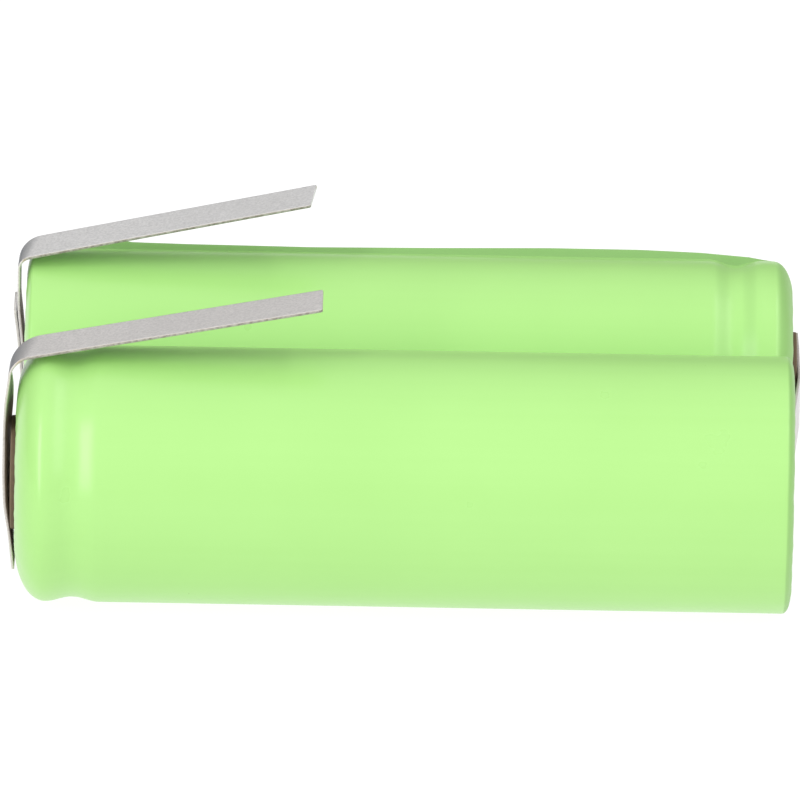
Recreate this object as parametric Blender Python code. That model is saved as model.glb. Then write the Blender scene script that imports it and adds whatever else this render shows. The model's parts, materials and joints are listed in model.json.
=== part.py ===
"""Two-cell 2.4 V nickel-metal-hydride pack: two 4/5AA cells side by side, with solder tags and a bridge.

The cells lie along X and rest on Z = 0. The front cell is at -Y with its positive end at -X. The rear
cell is at +Y, a little further to +X, with its positive end at +X. A nickel bridge at +X puts them in
series, and the pack's two poles are the nickel tags at -X. The origin is below the middle of the pack's
box.

A cell is built around its own X axis, with the positive end at +X, and then hung on an empty.
"""

import math

import bmesh
import bpy
from mathutils import Matrix, Vector

MM = 0.001

# Driving dimensions, in millimetres
SLEEVE_D = 14.2
SLEEVE_L = 42.85
CELL_GAP = 0.05
REAR_SHIFT = 0.135
SLEEVE_T = 0.1
CAN_T = 0.25
CAP_PROUD = 0.3
CAP_D = 5.5
STRIP_T = 0.15
TAG_W = 3.0
BRIDGE_W = 3.0
BRIDGE_RISE = 0.5
FIT = 0.05
WELD_FIT = 0.02

# The cell's shell
SLEEVE_R = SLEEVE_D / 2
END_X = SLEEVE_L / 2
CAN_R = SLEEVE_R - SLEEVE_T - FIT
CAN_BORE_R = CAN_R - CAN_T
GROOVE_FROM_END = 3.2
GROOVE_W = 3.0
GROOVE_X = END_X - GROOVE_FROM_END
SLEEVE_GROOVE_DEPTH = 0.28
CAN_GROOVE_DEPTH = 0.9
POSITIVE_DOME_R = 1.8
POSITIVE_DOME_X = 1.4
NEGATIVE_CORNER = 0.6
POSITIVE_FOLD_R = 4.3
NEGATIVE_FOLD_R = 5.6
CAN_BOTTOM_X = -END_X + SLEEVE_T + FIT
CAN_BOTTOM_T = 0.4
CAN_CORNER = 0.5
LIP_TOP_X = END_X - 0.5
LIP_R = 5.2
CRIMP_R = 1.3
CRIMP_X = 1.0

# The sealed top, from the lid outwards
LID_X = GROOVE_X + 1.3
LID_T = 0.55
LID_R = 5.9
LID_HOLE_R = 0.8
GASKET_R = 6.35
GASKET_BORE_R = 5.0
GASKET_FLANGE_T = 0.35
GASKET_BEVEL = 0.1
CAP_R = CAP_D / 2
CAP_T = 0.3
CAP_FLANGE_R = 4.8
CAP_CORNER = 0.2
CAP_DOME_R = 20.0
CAP_TOP_RINGS = (0.7, 0.4, 0.0)
CAP_UNDER_RINGS = (0.0, 0.5, 1.0)
CAP_TOP_X = END_X + CAP_PROUD
CAP_FOOT_X = LID_X + LID_T + FIT
CAP_VENT_HOLES = 3
CAP_VENT_HOLE = 0.4
CAP_VENT_HOLE_UP = 0.35
CAP_VENT_HOLE_DEPTH = 4 * CAP_T
WASHER_T = 0.3
WASHER_R = LIP_R + 0.3
WASHER_BORE_R = CAP_R + FIT
WASHER_COLLAR_R = 3.15
WASHER_COLLAR_PROUD = 0.22
SEAL_R = 1.6
SEAL_T = 0.3
PLATE_R = 1.9
PLATE_T = 0.15
SPRING_WIRE_R = 0.07
SPRING_R = 1.3
SPRING_TURNS = 2

# The wound electrodes
ROLL_CORE_R = 1.2
ROLL_TURNS = 3
ROLL_GAP = 0.03
SEPARATOR_T = 0.12
POSITIVE_T = 0.62
NEGATIVE_T = 0.36
ROLL_TOP_X = GROOVE_X - 2.25
ROLL_BOTTOM_X = -END_X + 1.05
EDGE_STEP = 0.3
BOTTOM_INSULATOR_R = 6.4
BOTTOM_INSULATOR_T = 0.25
COLLECTOR_R = 5.2
COLLECTOR_T = 0.15
TOP_INSULATOR_R = 6.3
TOP_INSULATOR_BORE_R = 3.8
TOP_INSULATOR_T = 0.25
LEAD_W = 2.5
LEAD_T = 0.12
LEAD_REACH = 3.2
LEAD_BEND = 0.35
LEAD_WELD_L = 1.75

# The tags: a leg welded to a cell's end, a bend over the sleeve's edge, and a free leg
BEND_R = 1.975
BEND_STEPS = 5
BEND_SLIT = 0.09
FRONT_REACH = 16.79
REAR_REACH = 16.13
FRONT_BEND = (0.4, 5.55)
REAR_BEND = (0.455, 5.92)
FRONT_RISE_DEG = 10.9
REAR_RISE_DEG = 12.25

# Strips' middle lines, as points (out from the sleeve's end, distance from the cell's axis)
ON_CAP = CAP_PROUD + WELD_FIT + STRIP_T / 2
ON_CAN = -SLEEVE_T - FIT + WELD_FIT + STRIP_T / 2
ON_LEG = STRIP_T + WELD_FIT
FRONT_TAG_LINE = [(0.12, -5.2), (0.32, -3.1), (0.38, -1.35), (ON_CAP, 0.3), (ON_CAP, 3.0)]
REAR_TAG_LINE = [(ON_CAN, -5.0), (ON_CAN, -0.4), (0.11, 1.5), (0.24, 3.0), (0.405, 4.6)]
BACKING_FOOT = ON_CAN + ON_LEG
BACKING_LINE = [(BACKING_FOOT, -3.2), (BACKING_FOOT, -0.6), (0.285, 1.5), (0.42, 3.0), (0.605, 4.45)]

# The bridge's middle line, as points (out from the sleeve's end, Y from the cell's axis)
BRIDGE_ON_CAN = [(ON_CAN, -3.4), (ON_CAN, 3.7), (0.16, 5.9)]
BRIDGE_ON_CAP = [(ON_CAP, -3.3), (ON_CAP, 1.2), (0.36, 3.5)]

# How finely round shapes are divided, and the angle from which an edge is shaded sharp
ROUND_STEPS = 24
VENT_STEPS = 16
ROLL_STEPS = 16
SHARP_DEG = 35.0

SLEEVE_GREEN = (0.50, 0.93, 0.31)
NICKEL = (0.62, 0.61, 0.60)
PLATED_STEEL = (0.55, 0.55, 0.56)
FIBRE_BROWN = (0.35, 0.20, 0.10)
NYLON_WHITE = (0.80, 0.78, 0.72)
RUBBER_BLACK = (0.02, 0.02, 0.02)
HYDROXIDE_BLACK = (0.05, 0.06, 0.05)
ALLOY_GREY = (0.12, 0.12, 0.13)
FLEECE_WHITE = (0.85, 0.85, 0.82)


def clear_scene():
    for old in list(bpy.data.objects):
        bpy.data.objects.remove(old)


def make_material(name, colour, roughness, metallic):
    material = bpy.data.materials.new(name)
    material.use_nodes = True
    shader = material.node_tree.nodes["Principled BSDF"]
    shader.inputs["Base Color"].default_value = (*colour, 1.0)
    shader.inputs["Roughness"].default_value = roughness
    shader.inputs["Metallic"].default_value = metallic
    return material


def add_empty(name, location, turn=0.0):
    """Return an empty at a point in millimetres, turned about Z by an angle in degrees."""
    empty = bpy.data.objects.new(name, None)
    empty.location = Vector(location) * MM
    empty.rotation_euler = (0.0, 0.0, math.radians(turn))
    bpy.context.scene.collection.objects.link(empty)
    return empty


def add_object(name, shape, material, parent, location=(0.0, 0.0, 0.0)):
    """Turn a bmesh in millimetres into a smooth-shaded object at a point of its parent."""
    bmesh.ops.scale(shape, vec=(MM, MM, MM), verts=shape.verts)
    bmesh.ops.recalc_face_normals(shape, faces=shape.faces)
    mesh = bpy.data.meshes.new(name)
    shape.to_mesh(mesh)
    shape.free()
    mesh.shade_smooth()
    mesh.set_sharp_from_angle(angle=math.radians(SHARP_DEG))
    mesh.materials.append(material)
    piece = bpy.data.objects.new(name, mesh)
    piece.location = Vector(location) * MM
    piece.parent = parent
    bpy.context.scene.collection.objects.link(piece)
    return piece


def arc(centre, radii, start, end, steps):
    """Points on an ellipse's arc from one angle to another, in degrees, both ends included."""
    points = []
    for step in range(steps + 1):
        angle = math.radians(start + (end - start) * step / steps)
        points.append((centre[0] + radii[0] * math.cos(angle), centre[1] + radii[1] * math.sin(angle)))
    return points


def offset_line(points, distance):
    """Shift an open line sideways, to its left, keeping each stretch parallel to the first line."""
    shifted = []
    for index, point in enumerate(points):
        here = Vector(point)
        before = Vector(points[max(index - 1, 0)])
        after = Vector(points[min(index + 1, len(points) - 1)])
        into = (here - before).normalized() if index > 0 else (after - here).normalized()
        out = (after - here).normalized() if index < len(points) - 1 else into
        normal = Vector((-into.y - out.y, into.x + out.x)).normalized()
        cosine = normal.dot(Vector((-into.y, into.x)))
        shifted.append(tuple(here + normal * distance / cosine))
    return shifted


def turned(outline, steps=ROUND_STEPS):
    """Turn a closed outline of (x, radius) points about X. The flats, not the corners, keep the radius."""
    shape = bmesh.new()
    reach = 1.0 / math.cos(math.pi / steps)
    half_step = Matrix.Rotation(math.pi / steps, 3, "X")
    corners = [shape.verts.new(half_step @ Vector((x, 0.0, radius * reach))) for x, radius in outline]
    edges = [shape.edges.new((corners[i - 1], corners[i])) for i in range(len(corners))]
    on_axis = [e for e in edges if max(abs(v.co.y) + abs(v.co.z) for v in e.verts) < 1e-6]
    bmesh.ops.delete(shape, geom=on_axis, context="EDGES")
    bmesh.ops.spin(
        shape, geom=shape.verts[:] + shape.edges[:], axis=(1.0, 0.0, 0.0), cent=(0.0, 0.0, 0.0),
        steps=steps, angle=2.0 * math.pi, use_merge=True,
    )
    bmesh.ops.remove_doubles(shape, verts=shape.verts, dist=0.001)
    return shape


def disc_outline(low_x, high_x, radius, bore=0.0):
    return [(low_x, bore), (low_x, radius), (high_x, radius), (high_x, bore)]


def band(side, other_side, low, high, place):
    """A band between two lines of equal length, run from low to high across them."""
    shape = bmesh.new()
    rings = []
    for near, far in zip(side, other_side):
        corners = (place(near, low), place(far, low), place(far, high), place(near, high))
        rings.append([shape.verts.new(corner) for corner in corners])
    for first, second in zip(rings, rings[1:]):
        for index in range(4):
            following = (index + 1) % 4
            shape.faces.new((first[index], first[following], second[following], second[index]))
    shape.faces.new(rings[0])
    shape.faces.new(rings[-1])
    return shape


def strip_along_x(path, width, thickness):
    """A strip that follows a path of (x, z) points and is as wide as given across Y."""
    sides = offset_line(path, thickness / 2), offset_line(path, -thickness / 2)
    return band(*sides, -width / 2, width / 2, lambda point, across: (point[0], across, point[1]))


def groove(depth):
    """The rolled groove below the positive end, as (x, drop in radius) points from low x to high x."""
    points = []
    for step in range(-3, 4):
        along = step / 3
        points.append((GROOVE_X + along * GROOVE_W / 2, depth * (1.0 + math.cos(math.pi * along)) / 2))
    return points


def make_sleeve(cell, parent, material):
    """Heat-shrink film: folded over both ends and drawn a little into the groove."""
    corner_x = -END_X + NEGATIVE_CORNER
    corner_r = SLEEVE_R - NEGATIVE_CORNER
    skin = [(-END_X, NEGATIVE_FOLD_R)]
    skin += arc((corner_x, corner_r), (NEGATIVE_CORNER, NEGATIVE_CORNER), 180, 90, 2)
    skin += [(x, SLEEVE_R - drop) for x, drop in groove(SLEEVE_GROOVE_DEPTH)]
    dome_centre = (END_X - POSITIVE_DOME_X, SLEEVE_R - POSITIVE_DOME_R)
    skin += arc(dome_centre, (POSITIVE_DOME_X, POSITIVE_DOME_R), 90, 0, 4)
    skin += [(END_X, POSITIVE_FOLD_R)]
    outline = skin + offset_line(skin, -SLEEVE_T)[::-1]
    add_object(f"{cell}_sleeve", turned(outline), material, parent)


def make_can(cell, parent, material):
    """Drawn steel can, the negative pole: flat bottom, rolled groove and a lip crimped over the lid."""
    wall = [(CAN_BOTTOM_X, 0.0)]
    wall += arc((CAN_BOTTOM_X + CAN_CORNER, CAN_R - CAN_CORNER), (CAN_CORNER, CAN_CORNER), 180, 90, 2)
    wall += [(x, CAN_R - drop) for x, drop in groove(CAN_GROOVE_DEPTH)]
    wall += arc((LIP_TOP_X - CRIMP_X, CAN_R - CRIMP_R), (CRIMP_X, CRIMP_R), 90, 0, 3)
    wall += [(LIP_TOP_X, LIP_R)]
    inside = [(CAN_BOTTOM_X + CAN_BOTTOM_T, 0.0), (CAN_BOTTOM_X + CAN_BOTTOM_T, CAN_BORE_R)]
    inside += offset_line(wall[4:], -CAN_T)
    add_object(f"{cell}_can", turned(wall + inside[::-1]), material, parent)


def make_lid_and_gasket(cell, parent, steel, nylon):
    """Sealing plate with a vent hole, gripped by a nylon ring that keeps it off the can."""
    plate = disc_outline(LID_X, LID_X + LID_T, LID_R, LID_HOLE_R)
    add_object(f"{cell}_lid", turned(plate), steel, parent)
    low = LID_X - FIT
    high = LID_X + LID_T + FIT
    groove_r = LID_R + FIT
    ring = [
        (low - GASKET_FLANGE_T, GASKET_BORE_R),
        (low - GASKET_FLANGE_T, GASKET_R - GASKET_BEVEL),
        (low, GASKET_R),
        (high, GASKET_R),
        (high + GASKET_FLANGE_T, GASKET_R - GASKET_FLANGE_T - FIT),
        (high + GASKET_FLANGE_T, GASKET_BORE_R),
        (high, GASKET_BORE_R),
        (high, groove_r),
        (low, groove_r),
        (low, GASKET_BORE_R),
    ]
    add_object(f"{cell}_gasket", turned(ring), nylon, parent)


def cap_surface_x(radius):
    """Where the cap's gently domed top lies at a radius."""
    return CAP_TOP_X - radius ** 2 / (2 * CAP_DOME_R)


def make_cap(cell, parent, material):
    """Positive cap: a domed pressed hat with a flange on the lid and vent holes in its wall."""
    rim_r = CAP_R - CAP_CORNER
    bore = CAP_R - CAP_T
    hat = [(CAP_FOOT_X, bore), (CAP_FOOT_X, CAP_FLANGE_R), (CAP_FOOT_X + CAP_T, CAP_FLANGE_R)]
    hat += [(CAP_FOOT_X + CAP_T, CAP_R)]
    hat += arc((cap_surface_x(rim_r) - CAP_CORNER, rim_r), (CAP_CORNER, CAP_CORNER), 90, 0, 2)
    hat += [(cap_surface_x(share * rim_r), share * rim_r) for share in CAP_TOP_RINGS]
    hat += [(cap_surface_x(share * bore) - CAP_T, share * bore) for share in CAP_UNDER_RINGS]
    cap = add_object(f"{cell}_cap", turned(hat), material, parent)
    drill = bmesh.new()
    for hole in range(CAP_VENT_HOLES):
        turn = Matrix.Rotation(2.0 * math.pi * (hole + 0.5) / CAP_VENT_HOLES, 4, "X")
        middle = Vector((CAP_FOOT_X + CAP_T + CAP_VENT_HOLE_UP, 0.0, CAP_R))
        size = Matrix.Diagonal((CAP_VENT_HOLE, CAP_VENT_HOLE, CAP_VENT_HOLE_DEPTH, 1.0))
        bmesh.ops.create_cube(drill, size=1.0, matrix=turn @ Matrix.Translation(middle) @ size)
    cutter = add_object(f"{cell}_cap_drill", drill, material, parent)
    cutter.hide_render = True
    cutter.display_type = "WIRE"
    cut = cap.modifiers.new("vent_holes", "BOOLEAN")
    cut.operation = "DIFFERENCE"
    cut.object = cutter


def make_washer(cell, parent, material):
    """Insulating ring on the lip, under the sleeve's fold, with a collar that stands round the cap."""
    low = LIP_TOP_X + FIT
    high = low + WASHER_T
    collar_top = END_X + WASHER_COLLAR_PROUD
    ring = [(low, WASHER_BORE_R), (low, WASHER_R), (high, WASHER_R), (high, WASHER_COLLAR_R)]
    ring += [(collar_top, WASHER_COLLAR_R), (collar_top, WASHER_BORE_R)]
    add_object(f"{cell}_fibre_washer", turned(ring), material, parent)


def make_vent(cell, parent, rubber, steel):
    """Resealing vent: a rubber seal on the lid's hole, a plate on it and a coil spring under the cap."""
    seal_x = LID_X + LID_T + FIT
    valve = add_empty(f"{cell}_vent_axis", (seal_x, 0.0, 0.0))
    valve.parent = parent
    add_object(f"{cell}_vent_seal", turned(disc_outline(0.0, SEAL_T, SEAL_R), VENT_STEPS), rubber, valve)
    plate_x = SEAL_T + FIT
    add_object(f"{cell}_vent_plate", turned(disc_outline(plate_x, plate_x + PLATE_T, PLATE_R), VENT_STEPS),
               steel, valve)
    wire_low = seal_x + plate_x + PLATE_T + FIT + SPRING_WIRE_R
    wire_high = cap_surface_x(SPRING_R + SPRING_WIRE_R) - CAP_T - FIT - SPRING_WIRE_R
    add_object(f"{cell}_vent_spring", coil(wire_low, wire_high), steel, parent)


def coil(low_x, high_x, steps_per_turn=10, sides=5):
    """Round wire wound about X at the spring's mean radius."""
    shape = bmesh.new()
    steps = SPRING_TURNS * steps_per_turn
    rings = []
    for step in range(steps + 1):
        turn = Matrix.Rotation(2.0 * math.pi * step / steps_per_turn, 3, "X")
        x = low_x + (high_x - low_x) * step / steps
        section = arc((x, SPRING_R), (SPRING_WIRE_R, SPRING_WIRE_R), 0, 360, sides)[:-1]
        rings.append([shape.verts.new(turn @ Vector((along, 0.0, out))) for along, out in section])
    for first, second in zip(rings, rings[1:]):
        for index in range(sides):
            following = (index + 1) % sides
            shape.faces.new((first[index], first[following], second[following], second[index]))
    shape.faces.new(rings[0])
    shape.faces.new(rings[-1])
    return shape


def make_layer(name, start_r, thickness, low_x, high_x, material, parent):
    """One layer of the roll: a band wound in a spiral about X."""
    pitch = POSITIVE_T + NEGATIVE_T + 2 * SEPARATOR_T + 4 * ROLL_GAP
    inner = []
    outer = []
    for step in range(ROLL_TURNS * ROLL_STEPS + 1):
        angle = 2.0 * math.pi * step / ROLL_STEPS
        radius = start_r + pitch * step / ROLL_STEPS
        inner.append((radius * math.cos(angle), radius * math.sin(angle)))
        outer.append(((radius + thickness) * math.cos(angle), (radius + thickness) * math.sin(angle)))
    shape = band(inner, outer, low_x, high_x, lambda point, along: (along, point[0], point[1]))
    add_object(name, shape, material, parent)


def make_roll(cell, parent, positive, negative, separator):
    """Positive and negative plates with two separators between them; the negative ends up outside."""
    inner_separator_r = ROLL_CORE_R
    positive_r = inner_separator_r + SEPARATOR_T + ROLL_GAP
    outer_separator_r = positive_r + POSITIVE_T + ROLL_GAP
    negative_r = outer_separator_r + SEPARATOR_T + ROLL_GAP
    separator_top = ROLL_TOP_X - EDGE_STEP
    make_layer(f"{cell}_inner_separator", inner_separator_r, SEPARATOR_T, ROLL_BOTTOM_X, separator_top,
               separator, parent)
    make_layer(f"{cell}_positive_electrode", positive_r, POSITIVE_T, ROLL_BOTTOM_X + EDGE_STEP, ROLL_TOP_X,
               positive, parent)
    make_layer(f"{cell}_outer_separator", outer_separator_r, SEPARATOR_T, ROLL_BOTTOM_X, separator_top,
               separator, parent)
    make_layer(f"{cell}_negative_electrode", negative_r, NEGATIVE_T, ROLL_BOTTOM_X + EDGE_STEP / 2,
               separator_top - EDGE_STEP, negative, parent)


def make_roll_ends(cell, parent, nylon, nickel):
    """Insulators above and below the roll, the collector disc on it and the lead from there to the lid."""
    bottom_high = ROLL_BOTTOM_X - FIT
    bottom = disc_outline(bottom_high - BOTTOM_INSULATOR_T, bottom_high, BOTTOM_INSULATOR_R, ROLL_CORE_R)
    add_object(f"{cell}_bottom_insulator", turned(bottom), nylon, parent)
    disc_low = ROLL_TOP_X + FIT
    disc_high = disc_low + COLLECTOR_T
    add_object(f"{cell}_collector_disc", turned(disc_outline(disc_low, disc_high, COLLECTOR_R, ROLL_CORE_R)),
               nickel, parent)
    ring_low = disc_high + FIT
    ring = disc_outline(ring_low, ring_low + TOP_INSULATOR_T, TOP_INSULATOR_R, TOP_INSULATOR_BORE_R)
    add_object(f"{cell}_top_insulator", turned(ring), nylon, parent)
    foot_x = disc_high + FIT + LEAD_T / 2
    weld_x = LID_X - FIT - LEAD_T / 2
    path = [(foot_x, -LEAD_REACH), (foot_x, LEAD_REACH - 2 * LEAD_BEND)]
    path += [(foot_x + 2 * LEAD_BEND, LEAD_REACH), (weld_x - LEAD_BEND, LEAD_REACH + LEAD_BEND)]
    path += [(weld_x, LEAD_REACH), (weld_x, LEAD_REACH - LEAD_WELD_L)]
    add_object(f"{cell}_positive_lead", strip_along_x(path, LEAD_W, LEAD_T), nickel, parent)


def make_cell(cell, location, turn, look):
    parent = add_empty(f"{cell}_cell", location, turn)
    make_sleeve(cell, parent, look["sleeve"])
    make_can(cell, parent, look["steel"])
    make_lid_and_gasket(cell, parent, look["steel"], look["nylon"])
    make_cap(cell, parent, look["cap"])
    make_washer(cell, parent, look["fibre"])
    make_vent(cell, parent, look["rubber"], look["steel"])
    make_roll(cell, parent, look["positive"], look["negative"], look["separator"])
    make_roll_ends(cell, parent, look["nylon"], look["nickel"])


def tag_path(weld_line, bend_start, rise, reach):
    """A tag's middle line in two halves and the point between them where the free half turns.

    Points are (out from the sleeve's end, z). The bend runs from upright to a free leg that rises from
    the level by the angle given, and a slit parts it half way.
    """
    centre = (bend_start[0] - BEND_R, bend_start[1])
    half_sweep = (90.0 - rise) / 2
    slit = math.degrees(BEND_SLIT / BEND_R)
    fixed = weld_line + arc(centre, (BEND_R, BEND_R), 0.0, half_sweep - slit, BEND_STEPS // 2)
    loose = arc(centre, (BEND_R, BEND_R), half_sweep + slit, 2 * half_sweep, BEND_STEPS // 2)
    run = reach + loose[-1][0]
    loose.append((-reach, loose[-1][1] + run * math.tan(math.radians(rise))))
    pivot = arc(centre, (BEND_R, BEND_R), half_sweep, half_sweep, 1)[0]
    return fixed, loose, pivot


def make_tag(side, end, weld_line, bend_start, rise, reach, material):
    """A tag in two legs that meet at the bend, where the free leg turns about a line along Y."""
    fixed, loose, pivot = tag_path(weld_line, bend_start, rise, reach)
    leg = [(-out, z) for out, z in fixed]
    add_object(f"{side}_tag_weld_leg", strip_along_x(leg, TAG_W, STRIP_T), material, end)
    axis = add_empty(f"{side}_tag_axis", (-pivot[0], 0.0, pivot[1]))
    axis.parent = end
    free = [(pivot[0] - out, z - pivot[1]) for out, z in loose]
    add_object(f"{side}_tag_free_leg", strip_along_x(free, TAG_W, STRIP_T), material, axis)


def make_bridge(cell_y, material):
    """A strip at +X from the front cell's bottom, over the edges of both sleeves, to the rear cell's cap."""
    line = [(y - cell_y, out) for out, y in BRIDGE_ON_CAN]
    line += [(y + cell_y, out + REAR_SHIFT) for out, y in BRIDGE_ON_CAP]
    sides = offset_line(line, STRIP_T / 2), offset_line(line, -STRIP_T / 2)
    shape = band(*sides, -BRIDGE_W / 2, BRIDGE_W / 2, lambda point, up: (point[1], point[0], up))
    add_object("bridge_strip", shape, material, None, (END_X, 0.0, SLEEVE_R + BRIDGE_RISE))


def make_strips(cell_y, nickel):
    """The tags at -X, the short strip welded over the rear one, and the bridge at +X."""
    front_end = add_empty("front_tag_end", (-END_X, -cell_y, SLEEVE_R))
    make_tag("front", front_end, FRONT_TAG_LINE, FRONT_BEND, FRONT_RISE_DEG, FRONT_REACH, nickel)
    rear_end = add_empty("rear_tag_end", (REAR_SHIFT - END_X, cell_y, SLEEVE_R))
    make_tag("rear", rear_end, REAR_TAG_LINE, REAR_BEND, REAR_RISE_DEG, REAR_REACH, nickel)
    backing = [(-out, z) for out, z in BACKING_LINE]
    add_object("rear_tag_backing_strip", strip_along_x(backing, TAG_W, STRIP_T), nickel, rear_end)
    make_bridge(cell_y, nickel)


def main():
    clear_scene()
    look = {
        "sleeve": make_material("sleeve_green", SLEEVE_GREEN, 0.35, 0.0),
        "nickel": make_material("nickel_strip", NICKEL, 0.4, 0.9),
        "steel": make_material("plated_steel", PLATED_STEEL, 0.35, 0.9),
        "cap": make_material("cap_steel", PLATED_STEEL, 0.25, 1.0),
        "fibre": make_material("fibre_washer", FIBRE_BROWN, 0.8, 0.0),
        "nylon": make_material("white_nylon", NYLON_WHITE, 0.5, 0.0),
        "rubber": make_material("black_rubber", RUBBER_BLACK, 0.85, 0.0),
        "positive": make_material("nickel_hydroxide", HYDROXIDE_BLACK, 0.9, 0.0),
        "negative": make_material("hydrogen_alloy", ALLOY_GREY, 0.8, 0.3),
        "separator": make_material("separator_fleece", FLEECE_WHITE, 0.9, 0.0),
    }
    cell_y = SLEEVE_R + CELL_GAP / 2
    make_cell("front", (0.0, -cell_y, SLEEVE_R), 180.0, look)
    make_cell("rear", (REAR_SHIFT, cell_y, SLEEVE_R), 0.0, look)
    make_strips(cell_y, look["nickel"])


main()
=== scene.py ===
import json
import math

import bmesh
import bpy
from mathutils import Matrix, Vector, noise


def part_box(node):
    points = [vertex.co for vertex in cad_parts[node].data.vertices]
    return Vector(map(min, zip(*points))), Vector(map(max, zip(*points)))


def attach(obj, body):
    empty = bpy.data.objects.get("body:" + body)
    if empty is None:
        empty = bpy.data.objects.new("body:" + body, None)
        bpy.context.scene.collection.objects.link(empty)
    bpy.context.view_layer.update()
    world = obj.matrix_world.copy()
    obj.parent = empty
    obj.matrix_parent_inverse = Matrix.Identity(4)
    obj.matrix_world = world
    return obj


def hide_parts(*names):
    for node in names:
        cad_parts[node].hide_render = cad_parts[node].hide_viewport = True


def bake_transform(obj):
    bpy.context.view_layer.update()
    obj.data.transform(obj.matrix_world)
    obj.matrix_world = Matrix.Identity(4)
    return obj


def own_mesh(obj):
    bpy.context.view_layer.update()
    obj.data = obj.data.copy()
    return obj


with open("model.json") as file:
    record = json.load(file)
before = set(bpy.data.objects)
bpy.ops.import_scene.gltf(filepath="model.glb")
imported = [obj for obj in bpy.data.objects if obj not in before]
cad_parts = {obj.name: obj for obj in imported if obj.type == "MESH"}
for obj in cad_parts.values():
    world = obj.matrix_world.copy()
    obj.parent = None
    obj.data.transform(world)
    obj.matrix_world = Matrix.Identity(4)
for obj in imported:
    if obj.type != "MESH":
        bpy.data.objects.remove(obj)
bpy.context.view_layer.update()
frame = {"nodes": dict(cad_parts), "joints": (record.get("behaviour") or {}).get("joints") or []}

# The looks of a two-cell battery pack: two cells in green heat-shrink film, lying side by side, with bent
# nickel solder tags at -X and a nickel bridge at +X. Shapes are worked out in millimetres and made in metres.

MM = 0.001

# The sleeve, measured from a cell's end and axis. A shape holds the rounding at the positive end (dome) and
# the negative one (corner) as (length along the cell, drop in radius), the groove's depth, and how much
# painted shade darkens the film where it turns over the positive (1) and negative (-1) end.
SLEEVE_T = 0.1
GROOVE_FROM_END = 3.2
GROOVE_W = 3.0
FRONT_SHAPE = {"dome": (1.7, 3.0), "corner": (0.45, 0.9), "groove": 0.27, "end_shade": {1: 0.0, -1: 0.5}}
REAR_SHAPE = {"dome": (1.1, 1.8), "corner": (0.42, 1.9), "groove": 0.32, "end_shade": {1: 0.55, -1: 0.0}}
POSITIVE_FOLD_R = 4.3
NEGATIVE_FOLD_R = 5.6
FOLD_STEP = 0.12
FOLD_WAVER_REACH = 0.8
SWELL = 0.006
PLEAT = 0.035
PLEAT_REACH = 0.5

# The can
CAN_T = 0.25
CAN_BOTTOM_T = 0.4
CAN_CORNER = 0.5
CAN_STEP_R = 4.6
CAN_STEP = (0.05, 0.15)
CAN_STEP_END_R = 5.3
CAN_GROOVE_DEPTH = 0.9
CRIMP = (1.0, 1.3)
LIP_FROM_END = 0.5
LIP_R = 5.2

# The film's flattened edge on the rear cell: (from the cell's middle to its positive end, height)
CREASE_ANGLE = math.radians(25.0)
CREASE_W = 0.1
CREASE_REACH = 0.055
HIDDEN_CREASE_SHARE = 0.5
CREASE_LINE = [(-20.6, 0.02), (-19.6, 0.40), (-17.4, 0.54), (-16.0, 0.54), (-15.6, 0.46), (-12.3, 0.40),
               (-5.6, 0.35), (1.1, 0.42), (7.9, 0.53), (12.9, 0.52), (16.3, 0.41), (19.0, 0.21), (20.1, 0.02)]

# The vent's spring: its wire's radius and its turns
SPRING_WIRE_R = 0.07
SPRING_TURNS = 2

# The cap and the washer's collar round it
CAP_R = 2.75
CAP_DOME_R = 20.0
CAP_CORNER = 0.2
CAP_T = 0.3
CAP_EDGE = 0.05
CAP_FILLET = 0.15
CAP_TOP_RINGS = (0.93, 0.8, 0.65, 0.5, 0.35, 0.2, 0.1, 0.0)
CAP_UNDER_RINGS = (0.0, 0.2, 0.4, 0.6, 0.8, 0.94)
VENT_HOLES = 3
VENT_HOLE_R = 0.2
VENT_HOLE_UP = 0.4
WASHER_T = 0.3
WASHER_R = 4.8
WASHER_EDGE = 0.06
WORN_COLLAR = 0.06
COLLAR_R = 3.15
COLLAR_BORE_R = 2.8

# The strips: lines of (out from the cell's end, distance from its axis)
STRIP_T = 0.15
ON_CAP = 0.395
ON_CAN = -0.055
ON_LEG = 0.17
BACKING_LINE = [(ON_CAN + ON_LEG, -3.2), (ON_CAN + ON_LEG, -0.6), (0.285, 1.5), (0.42, 3.0), (0.605, 4.45)]
BACKING_WELD = -1.6
BRIDGE_ON_CAN = [(ON_CAN, -3.4), (ON_CAN, 3.7), (0.16, 5.9)]
BRIDGE_ON_CAP = [(ON_CAP, -3.3), (ON_CAP, 1.2), (0.36, 3.5)]
BRIDGE_WELDS = (-0.6, 0.2)
WELD_ACROSS = 0.7
BRIDGE_WELD_ACROSS = 0.8
WELD_DENT = (0.055, 0.3)
WELD_RIM = (0.018, 0.5, 0.12)
STRIP_COLUMNS = 26
STRIP_BEVEL = 0.02
STRIP_BURR = 0.012
EDGE_SHADE = 0.15

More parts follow.
